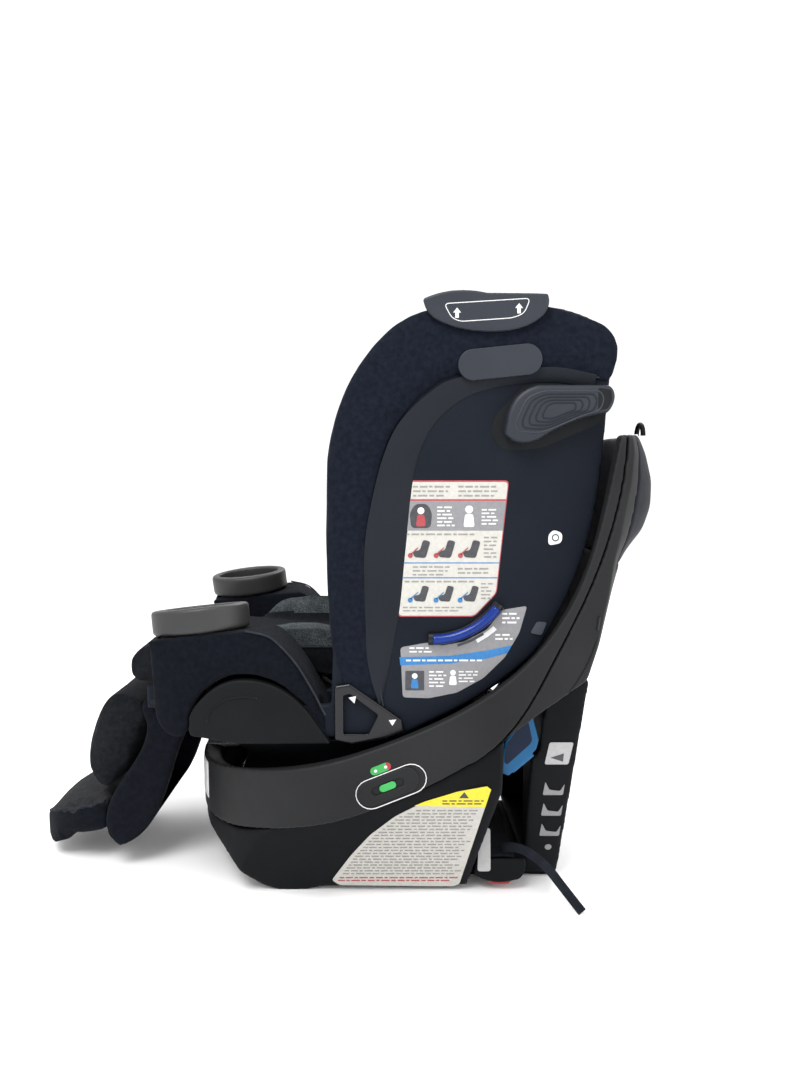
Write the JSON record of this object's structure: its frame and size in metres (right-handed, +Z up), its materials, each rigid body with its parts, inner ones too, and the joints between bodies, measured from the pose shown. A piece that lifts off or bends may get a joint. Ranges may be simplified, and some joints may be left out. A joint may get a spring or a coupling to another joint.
{
  "type": "convertible car seat",
  "caption": "Rotating convertible child car seat: hoop-shaped base with tall back, tilting seat on a turntable, sliding headrest, padded arms with cup holders and a hanging leg rest.",
  "frame": {"origin": "on the ground plane of the base, where the swivel axis meets it, on the seat's centre line", "axes": "+X towards the vehicle's rear (the seat's back), +Y to the far side, +Z up; the child faces -X"},
  "size_m": [0.866, 0.4758, 0.754],
  "materials": {
    "base_plastic": "fine textured charcoal",
    "base_dark": "fine textured black",
    "back_gloss": "smooth dark navy black",
    "shell_plastic": "matte black shell",
    "knit_fabric": "dark navy knit",
    "heather_fabric": "grey heather",
    "trim_grey": "satin grey",
    "steel": "zinc plated",
    "webbing": "woven polyester webbing",
    "blue_plastic": "glossy blue",
    "red_plastic": "glossy red",
    "green_plastic": "glossy green",
    "level_blue": "clear blue tube",
    "rubber_black": "soft foot"
  },
  "bodies": {
    "base": {"base_shell": "base_plastic", "base_lower": "base_dark", "base_floor": "base_dark", "rear_panel": "base_dark", "back_cover": "back_gloss", "back_shell": "base_plastic", "swivel_ring": "back_gloss", "base_feet": "rubber_black", "base_screws": "steel", "tether_loop": "steel", "lock_bezels": "trim_grey", "latch_strap": "webbing", "latch_connector_left": "base_dark", "latch_connector_right": "base_dark", "strap_tail": "webbing"},
    "turntable": {"turntable": "base_dark", "swivel_hub": "steel", "recline_rails": "steel"},
    "seat": {"seat_shell": "shell_plastic", "seat_cushion": "knit_fabric", "back_cushion": "heather_fabric", "wing_pad_left": "knit_fabric", "wing_pad_right": "knit_fabric", "bolster_left": "knit_fabric", "bolster_right": "knit_fabric", "side_cover_left": "shell_plastic", "side_cover_right": "shell_plastic", "belt_guide_left": "shell_plastic", "belt_guide_right": "shell_plastic", "impact_pod_left": "shell_plastic", "impact_pod_right": "shell_plastic", "badge_left": "trim_grey", "badge_right": "trim_grey", "level_tube_left": "level_blue", "level_tube_right": "level_blue", "shoulder_strap_left": "webbing", "shoulder_strap_right": "webbing", "crotch_strap": "webbing", "buckle": "shell_plastic", "legrest_pin": "steel"},
    "headrest": {"headrest_shell": "shell_plastic", "headrest_pad": "heather_fabric"},
    "headrest_release": {"headrest_release": "shell_plastic"},
    "legrest": {"legrest_frame": "shell_plastic", "calf_pad": "knit_fabric", "legrest_tongue": "knit_fabric"},
    "chest_clip": {"chest_clip": "shell_plastic"},
    "buckle_button": {"buckle_button": "red_plastic"},
    "adjuster_button": {"adjuster_button": "trim_grey"},
    "recline_handle": {"recline_handle": "base_dark"},
    "cup_holder_left": {"cup_holder_left": "trim_grey"},
    "rotate_handle_left": {"rotate_handle_left": "trim_grey"},
    "lock_flag_left": {"lock_flag_left": "green_plastic"},
    "lockoff_left": {"lockoff_left": "blue_plastic"},
    "latch_button_left": {"latch_button_left": "red_plastic"},
    "cup_holder_right": {"cup_holder_right": "trim_grey"},
    "rotate_handle_right": {"rotate_handle_right": "trim_grey"},
    "lock_flag_right": {"lock_flag_right": "green_plastic"},
    "lockoff_right": {"lockoff_right": "blue_plastic"},
    "latch_button_right": {"latch_button_right": "red_plastic"}
  },
  "joints": [
    {"name": "swivel", "type": "hinge", "parent": "base", "child": "turntable", "pos_m": [-0.043, 0, 0.15], "axis": [-0.2588, 0, 0.9659], "range_deg": [-90, 90]},
    {"name": "recline", "type": "hinge", "parent": "turntable", "child": "seat", "pos_m": [0.15, 0, 0.64], "axis": [0, 1, 0], "range_deg": [0, 10]},
    {"name": "headrest_height", "type": "slide", "parent": "seat", "child": "headrest", "axis": [0.1668, 0, 0.986], "range_m": [0, 0.15]},
    {"name": "headrest_squeeze", "type": "slide", "parent": "headrest", "child": "headrest_release", "axis": [0.1668, 0, 0.986], "range_m": [0, 0.006], "stiffness_N_per_m": 400},
    {"name": "legrest_fold", "type": "hinge", "parent": "seat", "child": "legrest", "pos_m": [-0.33, 0, 0.238], "axis": [0, 1, 0], "range_deg": [0, 30]},
    {"name": "chest_clip_slide", "type": "slide", "parent": "seat", "child": "chest_clip", "axis": [0.4472, 0, 0.8944], "range_m": [0, 0.04]},
    {"name": "buckle_press", "type": "slide", "parent": "seat", "child": "buckle_button", "axis": [0, 0, -1], "range_m": [0, 0.0025], "stiffness_N_per_m": 400},
    {"name": "adjuster_press", "type": "slide", "parent": "seat", "child": "adjuster_button", "axis": [0, 0, -1], "range_m": [0, 0.002], "stiffness_N_per_m": 400},
    {"name": "recline_pull", "type": "slide", "parent": "seat", "child": "recline_handle", "axis": [-1, 0, 0], "range_m": [0, 0.012], "stiffness_N_per_m": 300},
    {"name": "cup_holder_left_lift", "type": "slide", "parent": "seat", "child": "cup_holder_left", "axis": [-0.104, -0.1045, 0.9891], "range_m": [0, 0.1]},
    {"name": "rotate_handle_left_lift", "type": "slide", "parent": "seat", "child": "rotate_handle_left", "axis": [0, 0, 1], "range_m": [0, 0.012], "stiffness_N_per_m": 300},
    {"name": "lock_flag_left_slide", "type": "slide", "parent": "base", "child": "lock_flag_left", "axis": [0.9272, 0, 0.3746], "range_m": [0, 0.008]},
    {"name": "lockoff_left_swing", "type": "hinge", "parent": "base", "child": "lockoff_left", "pos_m": [0.1525, 0.1895, 0.1855], "axis": [-0.7549, 0, -0.6559], "range_deg": [0, 60]},
    {"name": "latch_button_left_press", "type": "slide", "parent": "base", "child": "latch_button_left", "axis": [0, 0, 1], "range_m": [0, 0.004], "stiffness_N_per_m": 400},
    {"name": "cup_holder_right_lift", "type": "slide", "parent": "seat", "child": "cup_holder_right", "axis": [-0.104, 0.1045, 0.9891], "range_m": [0, 0.1]},
    {"name": "rotate_handle_right_lift", "type": "slide", "parent": "seat", "child": "rotate_handle_right", "axis": [0, 0, 1], "range_m": [0, 0.012], "stiffness_N_per_m": 300},
    {"name": "lock_flag_right_slide", "type": "slide", "parent": "base", "child": "lock_flag_right", "axis": [0.9272, 0, 0.3746], "range_m": [0, 0.008]},
    {"name": "lockoff_right_swing", "type": "hinge", "parent": "base", "child": "lockoff_right", "pos_m": [0.1525, -0.1895, 0.1855], "axis": [0.7549, 0, 0.6559], "range_deg": [0, 60]},
    {"name": "latch_button_right_press", "type": "slide", "parent": "base", "child": "latch_button_right", "axis": [0, 0, 1], "range_m": [0, 0.004], "stiffness_N_per_m": 400}
  ],
  "couplings": [
    {"joint": "lock_flag_left_slide", "follows": "rotate_handle_left_lift", "ratio": 0.66667},
    {"joint": "lock_flag_right_slide", "follows": "rotate_handle_right_lift", "ratio": 0.66667}
  ]
}
